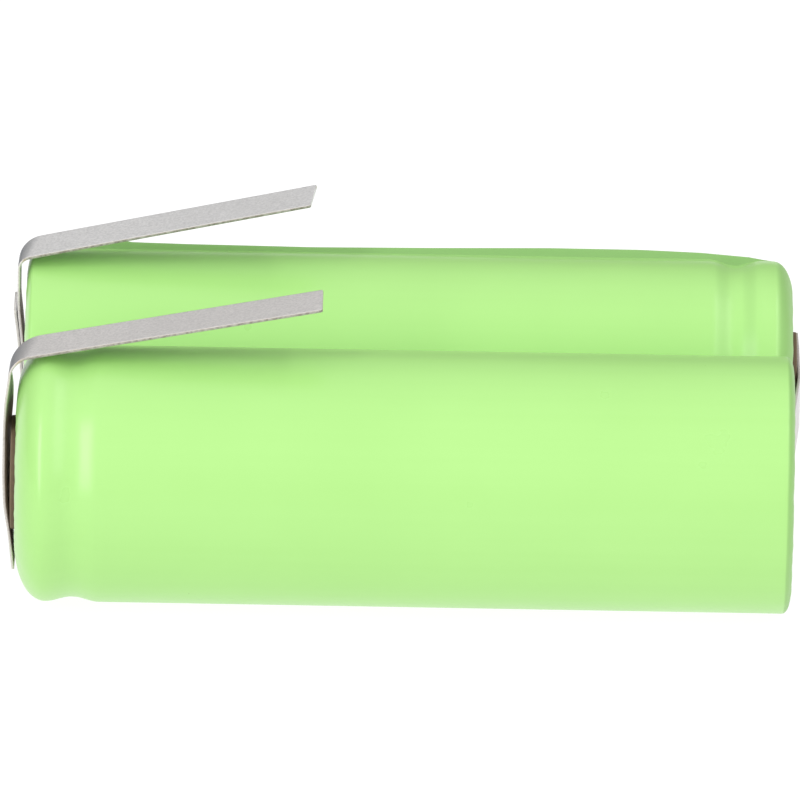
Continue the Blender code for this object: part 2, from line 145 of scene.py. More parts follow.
# The tags: the weld leg's line for the near and the far edge, where the bend starts, its radius at both
# edges, the free leg's rise, the height of the weld spots and how much shorter the near edge is. BEND_R is
# the CAD's radius, round which the joint's axis was placed.
BEND_R = 1.975
FRONT_TAG = {
    "near": [(0.12, -5.2), (0.34, -3.1), (0.62, -1.35), (0.68, 0.3), (0.66, 3.0), (0.6, 4.6)],
    "far": [(0.12, -5.2), (0.32, -3.1), (0.38, -1.35), (ON_CAP, 0.3), (ON_CAP, 2.4), (0.3, 3.6), (0.28, 4.7)],
    "bend": (0.4, 5.55), "near_bend_r": 1.3, "far_bend_r": 2.1, "rise": math.radians(10.9),
    "weld": 0.5, "slant": 0.0,
}
REAR_TAG_LINE = [(ON_CAN, -5.0), (ON_CAN, -0.4), (0.11, 1.5), (0.24, 3.0), (0.405, 4.6)]
REAR_TAG = {
    "near": REAR_TAG_LINE, "far": REAR_TAG_LINE,
    "bend": (0.4, 5.92), "near_bend_r": 0.7, "far_bend_r": 1.5, "rise": math.radians(12.25),
    "weld": -2.4, "slant": 0.3,
}
TIP_GAP = 0.015
TIP_CORNER = 0.12
LEG_STEPS = 110
BEND_STEPS = 20
FREE_STEPS = 60
TIP_STEPS = 8

# Where along a tag's line the painted reflection on the inner face ends, the burred edges start and the
# bend's painted shade lies
TAG_MARKS = {"reflection_to": 95, "burred_from": 118, "bend_shade_at": 117}
NO_MARKS = {"reflection_to": 0, "burred_from": 1000, "bend_shade_at": -1000}

TURN_STEPS = 192

# The visible surfaces' colours, in linear light
FILM_TONES = ((0.381, 0.712, 0.208), (0.399, 0.735, 0.221))
FILM_FLOW_LINE = (0.355, 0.68, 0.187)
# painted shade for the film's creases and for its shaded ends
FILM_PAINTED_SHADE = (0.225, 0.435, 0.13)
FILM_DUST = (0.13, 0.24, 0.08)
NICKEL = (0.78, 0.755, 0.74)
PALE_NICKEL = (0.83, 0.82, 0.815)
NICKEL_PIT = (0.10, 0.09, 0.09)
# painted shade across the tags' bends
NICKEL_BEND_SHADE = (0.10, 0.11, 0.125)
# painted reflection of the brown washer on the tags' inner faces
NICKEL_WASHER_REFLECTION = (0.50, 0.42, 0.32)
SLIT_EDGE_TONES = ((0.24, 0.22, 0.19), (0.44, 0.42, 0.39))
METAL_SHARE = 0.6
CAN_STEEL = (0.60, 0.59, 0.57)
CAP_STEEL = (0.60, 0.57, 0.52)
STEEL_STAIN = (0.20, 0.17, 0.14)
FIBRE_TONES = ((0.065, 0.04, 0.022), (0.16, 0.105, 0.06))
# painted highlight on the washer collar's top edge
FIBRE_EDGE_HIGHLIGHT = (0.21, 0.15, 0.09)

# The studio's light, in units of the picture's white. A softbox runs from one direction to another, each
# an azimuth and an elevation in degrees.
ROOM_DARK = 0.2
ROOM_BRIGHT = 1.0
ROOM_HEIGHT = math.radians(65.0)
TABLE_GLOW = 0.93
TABLE_HALF = 3.0
BOX_DISTANCE = 1.2
SOFTBOXES = {
    "left_box": {"from": (-32.0, 6.5), "to": (-60.0, 56.0), "width": 0.2, "radiance": 6.5},
    "right_box": {"from": (34.0, 19.0), "to": (42.0, 41.0), "width": 0.13, "radiance": 4.0},
    "overhead_box": {"from": (40.0, 43.0), "to": (140.0, 56.0), "width": 0.13, "radiance": 3.8},
}

# The camera: what it looks at in metres, its height and roll, and the width that it sees there
LOOK_AT = Vector((-0.000301, -0.005485, 0.011118))
CAMERA_HEIGHT = math.radians(22.2)
CAMERA_ROLL = math.radians(1.0)
CAMERA_DISTANCE = 0.9
CAMERA_FIELD = 0.0442
SENSOR_W = 36.0


def box_mm(node):
    low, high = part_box(node)
    return low / MM, high / MM


# ---------------------------------------------------------------- meshes


def mesh_from_rows(name, rows, loop=False, cap_ends=False, smooth_angle=40.0, shade=None):
    """A mesh in metres through rings of points in millimetres; loop joins the last ring to the first.

    shade holds a number for each point, which a material can read as the attribute of that name.
    """
    shape = bmesh.new()
    layer = shape.verts.layers.float.new("shade")
    rings = [[shape.verts.new(Vector(point) * MM) for point in row] for row in rows]
    if shade is not None:
        for vertex, value in zip((vertex for ring in rings for vertex in ring), shade):
            vertex[layer] = value
    pairs = list(zip(rings, rings[1:]))
    if loop:
        pairs.append((rings[-1], rings[0]))
    for first, second in pairs:
        for index in range(len(first)):
            following = (index + 1) % len(first)
            shape.faces.new((first[index], first[following], second[following], second[index]))
    if cap_ends:
        shape.faces.new(rings[0])
        shape.faces.new(rings[-1])
    bmesh.ops.remove_doubles(shape, verts=shape.verts, dist=1e-7)
    bmesh.ops.dissolve_degenerate(shape, edges=shape.edges, dist=1e-7)
    bmesh.ops.recalc_face_normals(shape, faces=shape.faces)
    mesh = bpy.data.meshes.new(name)
    shape.to_mesh(mesh)
    shape.free()
    mesh.shade_smooth()
    mesh.set_sharp_from_angle(angle=math.radians(smooth_angle))
    piece = bpy.data.objects.new(name, mesh)
    bpy.context.scene.collection.objects.link(piece)
    return piece


def finish_piece(piece, material, slot, body, *nodes):
    """Give a piece its material, let it ride on a body and stand for CAD nodes. The slot is not used."""
    piece.data.materials.clear()
    piece.data.materials.append(material)
    if body is not None:
        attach(piece, body)
    if nodes:
        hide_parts(*nodes)
    return piece


def arc(centre, radii, start, end, steps):
    """Points on an ellipse's arc from one angle to another, in degrees, both ends included."""
    points = []
    for step in range(steps + 1):
        angle = math.radians(start + (end - start) * step / steps)
        points.append((centre[0] + radii[0] * math.cos(angle), centre[1] + radii[1] * math.sin(angle)))
    return points


def spaced(points, step):
    """Points along an open line, about a step apart, corners kept."""
    line = [points[0]]
    for first, second in zip(points, points[1:]):
        length = math.dist(first, second)
        parts = max(1, round(length / step))
        for part in range(1, parts + 1):
            share = part / parts
            line.append(tuple(a + (b - a) * share for a, b in zip(first, second)))
    return line


def softened(line, rounds):
    """Round the corners of a finely spaced line, ends kept."""
    for _ in range(rounds):
        line = [line[0]] + [
            tuple((a + 2 * b + c) / 4 for a, b, c in zip(before, here, after))
            for before, here, after in zip(line, line[1:], line[2:])
        ] + [line[-1]]
    return line


def line_normals(line):
    """The unit normal on the right of an open line's direction at each of its points."""
    normals = []
    for index in range(len(line)):
        before = line[max(index - 1, 0)]
        after = line[min(index + 1, len(line) - 1)]
        run = Vector((after[0] - before[0], after[1] - before[1])).normalized()
        normals.append(Vector((run.y, -run.x)))
    return normals


# ---------------------------------------------------------------- cells


def cell_of(name, facing, shape):
    """Where a cell lies, in millimetres, and its shape. Its positive end faces +X (1) or -X (-1)."""
    low, high = box_mm(f"{name}_sleeve")
    middle = (low + high) / 2
    return {"name": name, "x": middle.x, "y": middle.y, "z": middle.z, "facing": facing,
            "radius": (high.z - low.z) / 2, "half": (high.x - low.x) / 2, **shape}


def at(cell, along, radius, angle):
    """A point of a cell: distance towards its positive end, radius, and angle from straight up to +Y."""
    return (cell["x"] + cell["facing"] * along,
            cell["y"] + radius * math.sin(angle),
            cell["z"] + radius * math.cos(angle))


def turned_piece(cell, name, outline, steps=TURN_STEPS, smooth_angle=40.0):
    """Turn a closed outline of (distance towards the positive end, radius) about the cell's axis."""
    angles = [2.0 * math.pi * step / steps for step in range(steps)]
    rows = [[at(cell, along, radius, angle) for angle in angles] for along, radius in outline]
    return mesh_from_rows(name, rows, loop=True, smooth_angle=smooth_angle)


def groove(half, radius, depth, steps):
    """The rolled groove below the positive end, as (distance towards that end, radius) points."""
    low = half - GROOVE_FROM_END - GROOVE_W / 2
    points = []
    for step in range(steps + 1):
        share = step / steps
        drop = depth * (1.0 - math.cos(2.0 * math.pi * share)) / 2
        points.append((low + share * GROOVE_W, radius - drop))
    return points


def sleeve_skin(cell):
    """The film's outer line from the negative fold to the positive one."""
    half, radius = cell["half"], cell["radius"]
    corner_x, corner_r = cell["corner"]
    dome_x, dome_r = cell["dome"]
    corner = arc((-half + corner_x, radius - corner_r), (corner_x, corner_r), 180, 90, 16)
    skin = [point for point in corner if point[1] >= NEGATIVE_FOLD_R]
    if len(skin) == len(corner):
        skin = spaced([(-half, NEGATIVE_FOLD_R), corner[0]], FOLD_STEP)[:-1] + corner
    groove_line = groove(half, radius, cell["groove"], 36)
    skin += spaced([skin[-1], groove_line[0]], 0.45)[1:]
    dome = arc((half - dome_x, radius - dome_r), (dome_x, dome_r), 90, 0, 36)
    dome += spaced([dome[-1], (half, POSITIVE_FOLD_R)], FOLD_STEP)[1:]
    return skin + groove_line[1:] + [point for point in dome[1:] if point[1] >= POSITIVE_FOLD_R]


def film_ripple(cell, along, angle, seed):
    """Small unevenness of the shrunk film: a faint swell all over, and pleats near the folds."""
    around = cell["radius"] * angle
    spot = Vector((0.16 * along, 0.35 * around + seed, 0.5 * seed))
    swell = SWELL * noise.noise(spot)
    to_end = cell["half"] - abs(along)
    near_fold = math.exp(-max(to_end, 0.0) / PLEAT_REACH)
    pleats = noise.noise(Vector((9.0 * math.cos(angle), 9.0 * math.sin(angle), seed)))
    return swell + PLEAT * near_fold * pleats


def height_on(points, along):
    """A height between (position, height) points, 0 beyond them."""
    for (low, low_height), (high, high_height) in zip(points, points[1:]):
        if low <= along <= high:
            return low_height + (high_height - low_height) * (along - low) / (high - low)
    return 0.0


def crease_lift(cell, along, skin_r, angle, creases):
    """The film's rise at an angle where its flattened edges run, each given as (angle, share of height)."""
    lift = 0.0
    for crease_angle, share in creases:
        away = math.remainder(angle - crease_angle, 2.0 * math.pi) * cell["radius"]
        height = share * height_on(CREASE_LINE, along)
        if height > 0.0 and abs(away) < 6 * CREASE_W:
            rise = max(0.0, cell["radius"] + height - skin_r)
            lift = max(lift, rise * math.exp(-(away / CREASE_W) ** 2))
    return lift


def sleeve_angles(creases):
    """Angles round a sleeve: even ones, and close ones across each crease."""
    angles = {round(2.0 * math.pi * step / TURN_STEPS, 6) for step in range(TURN_STEPS)}
    for crease_angle, _ in creases:
        angles = {a for a in angles if abs(math.remainder(a - crease_angle, 2.0 * math.pi)) > CREASE_REACH}
        for step in range(-12, 13):
            angles.add(round((crease_angle + CREASE_REACH * step / 12) % (2.0 * math.pi), 6))
    return sorted(angles)


def fold_waver(angle, seed):
    """How unevenly the film's cut edge runs."""
    broad = noise.noise(Vector((1.3 * math.cos(angle), 1.3 * math.sin(angle), seed)))
    fine = noise.noise(Vector((6.0 * math.cos(angle), 6.0 * math.sin(angle), seed + 5.0)))
    return 0.16 * broad + 0.05 * fine


def film_shade(cell, along, normal, lift):
    """How much painted shade darkens the film: along its creases, and where it turns over an end's edge."""
    over_edge = max(0.0, min(1.0, (abs(normal.x) - 0.2) / 0.35))
    return max(min(1.0, lift / 0.04), cell["end_shade"][1 if along > 0 else -1] * over_edge)


def make_sleeve(cell, material, creases, seed):
    """The shrunk film, folded in over both ends, with its flattened edges and its unevenness."""
    skin = sleeve_skin(cell)
    normals = line_normals(skin)
    angles = sleeve_angles(creases)
    outer_rows = []
    inner_rows = []
    shade = []
    for (along, radius), normal in zip(skin, normals):
        to_fold = radius - (NEGATIVE_FOLD_R if along < 0 else POSITIVE_FOLD_R)
        near_edge = max(0.0, 1.0 - to_fold / FOLD_WAVER_REACH) if abs(along) > cell["half"] - 0.4 else 0.0
        outer = []
        inner = []
        for angle in angles:
            edge_r = radius + near_edge * fold_waver(angle, seed + (0.0 if along < 0 else 9.0))
            ripple = film_ripple(cell, along, angle, seed)
            lift = crease_lift(cell, along, radius, angle, creases)
            # painted shade of the film at this point
            shade.append(film_shade(cell, along, normal, lift))
            out = -normal * ripple
            outer.append(at(cell, along + out.x, edge_r + out.y + lift, angle))
            under = normal * SLEEVE_T
            inner.append(at(cell, along + under.x, edge_r + under.y, angle))
        outer_rows.append(outer)
        inner_rows.append(inner)
    shade += [0.0] * len(shade)
    rows = outer_rows + inner_rows[::-1]
    piece = mesh_from_rows(f"{cell['name']}_film_sleeve", rows, loop=True, shade=shade)
    return finish_piece(piece, material, "sleeve_film", "pack", f"{cell['name']}_sleeve")


def make_can(cell, material):
    """The can's shell: flat bottom, groove and crimped lip, with a soft step pressed into the bottom."""
    name = cell["name"]
    low, high = box_mm(f"{name}_can")
    can_r = (high.z - low.z) / 2
    bottom = -(high.x - low.x) / 2 - (cell["facing"] * (cell["x"] - (low.x + high.x) / 2))
    step_x, step_r = CAN_STEP
    foot = bottom + step_x
    wall = spaced([(bottom, 0.0), (bottom, CAN_STEP_R)], 0.4)
    wall += arc((foot, CAN_STEP_R + step_r), (step_x, step_r), 180, 90, 3) + [(foot, CAN_STEP_END_R)]
    wall += arc((foot + CAN_CORNER, can_r - CAN_CORNER), (CAN_CORNER, CAN_CORNER), 180, 90, 8)
    barrel_end = len(wall)
    wall += groove(cell["half"], can_r, CAN_GROOVE_DEPTH, 24)
    lip_x = cell["half"] - LIP_FROM_END
    wall += arc((lip_x - CRIMP[0], can_r - CRIMP[1]), CRIMP, 90, 0, 10) + [(lip_x, LIP_R)]
    inside = [(bottom + CAN_BOTTOM_T, 0.0), (bottom + CAN_BOTTOM_T, can_r - CAN_T)]
    inside += [(along + CAN_T * normal.x, radius + CAN_T * normal.y)
               for (along, radius), normal in list(zip(wall, line_normals(wall)))[barrel_end + 1:]]
    piece = turned_piece(cell, f"{name}_can_shell", wall + inside[::-1], 128)
    return finish_piece(piece, material, "plated_steel", "pack", f"{name}_can")


def dome_x(top, radius):
    """Where the cap's domed top lies at a radius."""
    return top - radius ** 2 / (2 * CAP_DOME_R)


def make_cap(cell, material):
    """The pressed cap: a domed top, a rounded rim, a flange and three vent holes in its wall."""
    name = cell["name"]
    low, high = box_mm(f"{name}_cap")
    flange_r = (high.z - low.z) / 2
    foot, top = sorted(cell["facing"] * (x - cell["x"]) for x in (low.x, high.x))
    bore = CAP_R - CAP_T
    rim_r = CAP_R - CAP_CORNER
    face = foot + CAP_T
    hat = [(foot, bore), (foot, flange_r - CAP_EDGE), (foot + CAP_EDGE, flange_r)]
    hat += [(face - CAP_EDGE, flange_r), (face, flange_r - CAP_EDGE)]
    hat += arc((face + CAP_FILLET, CAP_R + CAP_FILLET), (CAP_FILLET, CAP_FILLET), 180, 270, 5)[1:]
    hat += arc((dome_x(top, rim_r) - CAP_CORNER, rim_r), (CAP_CORNER, CAP_CORNER), 90, 8, 8)
    hat += [(dome_x(top, rim_r * share), rim_r * share) for share in CAP_TOP_RINGS]
    hat += [(dome_x(top, bore * share) - CAP_T, bore * share) for share in CAP_UNDER_RINGS]
    hat += [(dome_x(top, bore) - CAP_T - 2 * CAP_EDGE, bore)]
    piece = turned_piece(cell, f"{name}_pressed_cap", hat, 128)
    drill_vent_holes(piece, at(cell, face + VENT_HOLE_UP, 0.0, 0.0))
    return finish_piece(piece, material, "cap_steel", "pack", f"{name}_cap")


def drill_vent_holes(cap, middle):
    """Cut the vent's round holes through the cap's wall, evenly about a point on its axis."""
    drill = bmesh.new()
    for hole in range(VENT_HOLES):
        turn = Matrix.Rotation(2.0 * math.pi * (hole + 0.5) / VENT_HOLES, 4, "X")
        place = turn @ Matrix.Translation(Vector((0.0, 0.0, CAP_R)) * MM)
        bmesh.ops.create_cone(drill, cap_ends=True, segments=24, radius1=VENT_HOLE_R * MM,
                              radius2=VENT_HOLE_R * MM, depth=4 * CAP_T * MM, matrix=place)
    bmesh.ops.translate(drill, vec=Vector(middle) * MM, verts=drill.verts)
    mesh = bpy.data.meshes.new("cap_drill")
    drill.to_mesh(mesh)
    drill.free()
    cutter = bpy.data.objects.new("cap_drill", mesh)
    bpy.context.scene.collection.objects.link(cutter)
    cut = cap.modifiers.new("vent_holes", "BOOLEAN")
    cut.object = cutter
    apply_modifiers(cap)
    bpy.data.objects.remove(cutter)


def apply_modifiers(piece):
    """Keep a piece's shape as its modifiers make it, without the modifiers."""
    bpy.context.view_layer.update()
    evaluated = piece.evaluated_get(bpy.context.evaluated_depsgraph_get())
    mesh = bpy.data.meshes.new_from_object(evaluated)
    piece.modifiers.clear()
    piece.data = mesh


def make_washer(cell, material):
    """The fibre ring under the sleeve's fold, with a collar round the cap; its edges are a little rounded."""
    name = cell["name"]
    low, high = box_mm(f"{name}_fibre_washer")
    foot, top = sorted(cell["facing"] * (x - cell["x"]) for x in (low.x, high.x))
    face = foot + WASHER_T
    top += WORN_COLLAR
    soft = WASHER_EDGE
    ring = [(foot, COLLAR_BORE_R + soft), (foot, WASHER_R - soft), (foot + soft, WASHER_R)]
    ring += [(face - soft, WASHER_R)] + spaced([(face, WASHER_R - soft), (face, COLLAR_R + soft)], 0.2)
    ring += [(face + soft, COLLAR_R)]
    ring += arc((top - soft, COLLAR_R - soft), (soft, soft), 90, 0, 4)
    ring += arc((top - soft, COLLAR_BORE_R + soft), (soft, soft), 0, -90, 4)
    ring += [(foot + soft, COLLAR_BORE_R)]
    angles = [2.0 * math.pi * step / TURN_STEPS for step in range(TURN_STEPS)]
    rows = [[at(cell, along, radius, angle) for angle in angles] for along, radius in ring]
    # painted highlight along the collar's top edge
    shade = [min(1.0, max(0.0, (along - top + 0.12) / 0.1)) for along, _ in ring for _ in angles]
    piece = mesh_from_rows(f"{name}_punched_washer", rows, loop=True, shade=shade)
    return finish_piece(piece, material, "fibre", "pack", f"{name}_fibre_washer")


def make_vent_spring(cell, material):
    """The vent's coil spring, between the ends of the CAD's spring."""
    name = cell["name"]
    low, high = box_mm(f"{name}_vent_spring")
    foot, top = sorted(cell["facing"] * (x - cell["x"]) for x in (low.x, high.x))
    coil_r = (high.z - low.z) / 2 - SPRING_WIRE_R
    steps_per_turn = 40
    steps = SPRING_TURNS * steps_per_turn
    rows = []
    for step in range(steps + 1):
        angle = 2.0 * math.pi * step / steps_per_turn
        along = foot + SPRING_WIRE_R + (top - foot - 2 * SPRING_WIRE_R) * step / steps
        section = arc((along, coil_r), (SPRING_WIRE_R, SPRING_WIRE_R), 0, 360, 12)[:-1]
        rows.append([at(cell, x, radius, angle) for x, radius in section])
    piece = mesh_from_rows(f"{name}_coil_spring", rows, cap_ends=True)
    finish_piece(piece, material, "plated_steel", "pack", f"{name}_vent_spring")
    anchor = Vector(at(cell, top, 0.0, 0.0)) * MM
    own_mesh(piece)
    return piece


# ---------------------------------------------------------------- strips


def strip_section(width):
    """The outline across a strip, as (across, depth) points: the outer face first, edges bevelled."""
    half = STRIP_T / 2
    inner_w = width - 2 * STRIP_BEVEL
    flat = [-(width / 2 - STRIP_BEVEL) + inner_w * step / STRIP_COLUMNS for step in range(STRIP_COLUMNS + 1)]
    section = [(across, half) for across in flat]
    section += [(width / 2, half - STRIP_BEVEL), (width / 2, STRIP_BEVEL - half)]
    section += [(across, -half) for across in flat[::-1]]
    return section + [(-width / 2, STRIP_BEVEL - half), (-width / 2, half - STRIP_BEVEL)]


def strip_shade(index, on_edge, on_inner_face, marks):
    """A point's shade on a strip: up to 1 on a slit edge, up to 0.5 for a painted reflection on the inner
    face, below 0 for painted shade on the bend.
    """
    if on_edge:
        return max(EDGE_SHADE, min(1.0, (index - marks["burred_from"]) / 10))
    if on_inner_face:
        return 0.5 * max(0.0, min(1.0, (marks["reflection_to"] - index) / 12))
    return -max(0.0, 1.0 - abs(index - marks["bend_shade_at"]) / 13)


def strip_mesh(name, near_line, far_line, width, place, welds, corner, seed, marks=NO_MARKS):
    """A rolled strip between the lines of its two edges, with its slit edges and its weld dimples.

    The lines hold (out, position) points, as many in one as in the other, and the strip's outer face is on
    their right. place turns (out, position, across) into a point, welds are (index along the lines, across)
    pairs and corner is the radius of the last end's corners.
    """
    half = STRIP_T / 2
    edge = width / 2 - STRIP_BEVEL
    section = strip_section(width)
    near_normals = line_normals(near_line)
    far_normals = line_normals(far_line)
    rows = []
    shade = []
    for index, (near, far) in enumerate(zip(near_line, far_line)):
        near, far = Vector(near), Vector(far)
        to_end = min(corner, math.dist(near, near_line[-1]))
        narrowed = corner - math.sqrt(max(0.0, corner ** 2 - (corner - to_end) ** 2))
        shrink = 1.0 - 2.0 * narrowed / width
        row = []
        for across, depth in section:
            share = across / width + 0.5
            point = near.lerp(far, share)
            normal = near_normals[index].lerp(far_normals[index], share).normalized()
            burr = STRIP_BURR * noise.noise(Vector((0.9 * index, 4.0 * math.copysign(1.0, across), seed)))
            reach = across * shrink + (burr if abs(across) > edge else 0.0)
            dent = weld_dent(near_line, welds, near, across) if depth > 0 else 0.0
            spot = point + normal * (depth - dent)
            row.append(place(spot.x, spot.y, reach))
            on_edge = abs(depth) < half - STRIP_BEVEL / 2 or abs(across) > edge + STRIP_BEVEL / 2
            shade.append(strip_shade(index, on_edge, depth < 0, marks))
        rows.append(row)
    return mesh_from_rows(name, rows, cap_ends=True, smooth_angle=50.0, shade=shade)


def weld_dent(line, welds, point, across):
    """How deep the electrodes pressed at a spot; the metal stands a little proud round each dimple."""
    dent = 0.0
    for index, weld_across in welds:
        away = math.hypot(math.dist(line[index], point), across - weld_across)
        dent += WELD_DENT[0] * math.exp(-(away / WELD_DENT[1]) ** 2)
        dent -= WELD_RIM[0] * math.exp(-((away - WELD_RIM[1]) / WELD_RIM[2]) ** 2)
    return dent


def nearest(line, position):
    """The index of the line's point whose second coordinate is nearest to a position."""
    return min(range(len(line)), key=lambda index: abs(line[index][1] - position))


def resampled(points, count):
    """Count + 1 points at even distances along a line."""
    fine = spaced(points, 0.01)
    steps = [math.dist(a, b) for a, b in zip(fine, fine[1:])]
    total = sum(steps)
    line = [fine[0]]
    travelled = 0.0
    for point, step in zip(fine[1:], steps):
        travelled += step
        if travelled >= total * len(line) / count - 1e-9:
            line.append(point)
    return line[:count] + [fine[-1]]


def tag_line(weld_line, bend_start, rise, reach, bend_r):
    """One edge of a tag: up the cell's end, over the bend and along the free leg to its tip.

    Whatever the bend's radius, both legs stay in their planes. The points lie closer at the tip, so that
    its corners come out round.
    """
    turn = math.pi / 2 - rise
    corner = bend_start[1] + BEND_R * math.tan(turn / 2)
    start = (bend_start[0], corner - bend_r * math.tan(turn / 2))
    bend = arc((start[0] - bend_r, start[1]), (bend_r, bend_r), 0.0, math.degrees(turn), BEND_STEPS)
    run = reach + bend[-1][0]
    end = (-reach, bend[-1][1] + run * math.tan(rise))
    shoulder = tuple(a + (b - a) * 0.99 for a, b in zip(bend[-1], end))
    leg = softened(resampled(weld_line + [start], LEG_STEPS), 14)
    free = resampled([bend[-1], shoulder], FREE_STEPS) + resampled([shoulder, end], TIP_STEPS)[1:]
    return leg[:-1] + bend + free[1:]


def joint_pivot(name):
    found = [joint for joint in frame["joints"] if joint["name"] == name]
    return Vector(found[0]["pos_m"])


def make_tag(cell, tag, material, seed):
    """One continuous tag, weld leg, bend and free leg, in place of the two halves of the CAD."""
    name = cell["name"]
    leg_low, leg_high = box_mm(f"{name}_tag_free_leg")
    width = leg_high.y - leg_low.y
    end_x = cell["x"] - cell["half"]
    reach = leg_high.x - end_x - TIP_GAP
    near = tag_line(tag["near"], tag["bend"], tag["rise"], reach - tag["slant"], tag["near_bend_r"])
    far = tag_line(tag["far"], tag["bend"], tag["rise"], reach, tag["far_bend_r"])
    welds = [(nearest(near[:LEG_STEPS - 10], tag["weld"]), across) for across in (-WELD_ACROSS, WELD_ACROSS)]

    def place(out, height, across):
        return (end_x - out, cell["y"] + across, cell["z"] + height)

    piece = strip_mesh(f"{name}_solder_tag", near, far, width, place, welds, TIP_CORNER, seed, TAG_MARKS)
    finish_piece(piece, material, "nickel_strip", None, f"{name}_tag_weld_leg", f"{name}_tag_free_leg")
    pivot = joint_pivot(f"{name}_tag_bend")
    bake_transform(piece)
    return piece


def make_backing_strip(cell, material):
    """The short strip over the rear tag's weld leg."""
    line = softened(resampled(BACKING_LINE, 70), 10)
    low, high = box_mm("rear_tag_backing_strip")

    def place(out, height, across):
        return (cell["x"] - cell["half"] - out, cell["y"] + across, cell["z"] + height)

    welds = [(nearest(line, BACKING_WELD), across) for across in (-WELD_ACROSS, WELD_ACROSS)]
    piece = strip_mesh("rear_backing_strip", line, line, high.y - low.y, place, welds, 0.1, 3.0)
    return finish_piece(piece, material, "nickel_strip", "pack", "rear_tag_backing_strip")


def make_bridge(front, rear, material):
    """The bridge's line runs from the front cell's bottom to the rear cell's cap, which lies further out."""
    end_x = front["x"] + front["half"]
    rear_out = rear["x"] + rear["half"] - end_x
    line = [(out, y + front["y"]) for out, y in BRIDGE_ON_CAN]
    line += [(out + rear_out, y + rear["y"]) for out, y in BRIDGE_ON_CAP]
    line = softened(resampled(line, 170), 14)
    low, high = box_mm("bridge_strip")

    def place(out, y, across):
        return (end_x + out, y, (low.z + high.z) / 2 - across)

    weld_y = [cell["y"] + offset for cell, offset in zip((front, rear), BRIDGE_WELDS)]
    sides = (-BRIDGE_WELD_ACROSS, BRIDGE_WELD_ACROSS)
    welds = [(nearest(line, y), across) for y in weld_y for across in sides]
    piece = strip_mesh("series_bridge", line, line, high.z - low.z, place, welds, 0.1, 7.0)
    return finish_piece(piece, material, "nickel_strip", "pack", "bridge_strip")


# ---------------------------------------------------------------- materials


class Nodes:
    """A short way to add and join the nodes of one material."""

    def __init__(self, name):
        self.material = bpy.data.materials.new(name)
        self.material.use_nodes = True
        self.tree = self.material.node_tree
        self.shader = self.tree.nodes["Principled BSDF"]
        self.place = self.add("ShaderNodeTexCoord").outputs["Object"]

    def add(self, kind, **settings):
        node = self.tree.nodes.new(kind)
        for key, value in settings.items():
            setattr(node, key, value)
        return node

    def join(self, output, target):
        self.tree.links.new(output, target)

    def scaled_place(self, scale):
        """The object's coordinates, stretched by a scale for each axis."""
        mapping = self.add("ShaderNodeMapping")
        mapping.inputs["Scale"].default_value = scale
        self.join(self.place, mapping.inputs["Vector"])
        return mapping.outputs["Vector"]

    def noise(self, scale, detail=3.0, roughness=0.5, place=None):
        node = self.add("ShaderNodeTexNoise")
        node.inputs["Scale"].default_value = scale
        node.inputs["Detail"].default_value = detail
        node.inputs["Roughness"].default_value = roughness
        self.join(place or self.place, node.inputs["Vector"])
        return node.outputs["Fac"]

    def ramp(self, value, stops):
        """A colour ramp through (position, colour) stops."""
        node = self.add("ShaderNodeValToRGB")
        elements = node.color_ramp.elements
        for element, (position, colour) in zip(elements, stops):
            element.position = position
            element.color = (*colour, 1.0)
        for position, colour in stops[2:]:
            element = elements.new(position)
            element.color = (*colour, 1.0)
        self.join(value, node.inputs["Fac"])
        return node.outputs["Color"]

    def spread(self, value, low, high, from_low=0.0, from_high=1.0):
        """Map a value's range onto another one."""
        node = self.add("ShaderNodeMapRange")
        limits = {"From Min": from_low, "From Max": from_high, "To Min": low, "To Max": high}
        for key, number in limits.items():
            node.inputs[key].default_value = number
        self.join(value, node.inputs["Value"])
        return node.outputs["Result"]

    def shade(self):
        """The number that the mesh holds at each point."""
        return self.add("ShaderNodeAttribute", attribute_name="shade").outputs["Fac"]

    def mix(self, share, first, second, blend_type="MIX"):
        node = self.add("ShaderNodeMix", data_type="RGBA", blend_type=blend_type)
        if isinstance(share, float):
            node.inputs["Factor"].default_value = share
        else:
            self.join(share, node.inputs["Factor"])
        for socket, colour in (("A", first), ("B", second)):
            target = [i for i in node.inputs if i.name == socket and i.type == "RGBA"][0]
            if isinstance(colour, tuple):
                target.default_value = (*colour, 1.0)
            else:
                self.join(colour, target)
        return [o for o in node.outputs if o.type == "RGBA"][0]

    def bump(self, height, distance, strength=1.0, below=None):
        node = self.add("ShaderNodeBump")
        node.inputs["Strength"].default_value = strength
        node.inputs["Distance"].default_value = distance
        self.join(height, node.inputs["Height"])
        if below is not None:
            self.join(below, node.inputs["Normal"])
        return node.outputs["Normal"]

    def set(self, **values):
        """Set the shader's own sockets; a name's underscores stand for spaces."""
        for key, value in values.items():
            self.shader.inputs[key.replace("_", " ")].default_value = value

    def specks(self, scale, size, share):
        """1 in small round spots, about one for each 1 / scale, of which only a share is kept."""
        cells = self.add("ShaderNodeTexVoronoi", feature="F1")
        cells.inputs["Scale"].default_value = scale
        self.join(self.place, cells.inputs["Vector"])
        spot = self.add("ShaderNodeMath", operation="LESS_THAN")
        spot.inputs[1].default_value = size
        self.join(cells.outputs["Distance"], spot.inputs[0])
        kept = self.add("ShaderNodeMath", operation="LESS_THAN")
        kept.inputs[1].default_value = share
        split = self.add("ShaderNodeSeparateColor")
        self.join(cells.outputs["Color"], split.inputs["Color"])
        self.join(split.outputs["Red"], kept.inputs[0])
        both = self.add("ShaderNodeMath", operation="MULTIPLY")
        self.join(spot.outputs["Value"], both.inputs[0])
        self.join(kept.outputs["Value"], both.inputs[1])
        return both.outputs["Value"]


